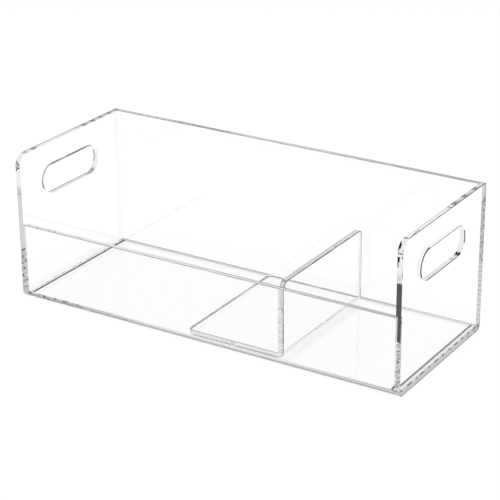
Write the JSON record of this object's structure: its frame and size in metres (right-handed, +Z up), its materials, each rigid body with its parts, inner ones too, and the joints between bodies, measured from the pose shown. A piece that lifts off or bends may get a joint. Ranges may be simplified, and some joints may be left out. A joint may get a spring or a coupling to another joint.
{
  "type": "desktop media rack",
  "caption": "Clear acrylic desktop rack with a low front, a full-height back, end panels with hand holes and a sliding L-shaped bookend.",
  "frame": {"origin": "middle of the underside, on the surface that the rack stands on", "axes": "+X to the right along the length, +Y from the low front wall to the high back wall, +Z up"},
  "size_m": [0.4, 0.158, 0.142],
  "materials": {
    "clear_acrylic": "polished"
  },
  "bodies": {
    "rack": {"trough": "clear_acrylic", "left_end_panel": "clear_acrylic", "right_end_panel": "clear_acrylic"},
    "bookend": {"bookend": "clear_acrylic"}
  },
  "joints": [
    {"name": "bookend_slide", "type": "slide", "parent": "rack", "child": "bookend", "axis": [1, 0, 0], "range_m": [-0.1792, 0.1102]}
  ]
}
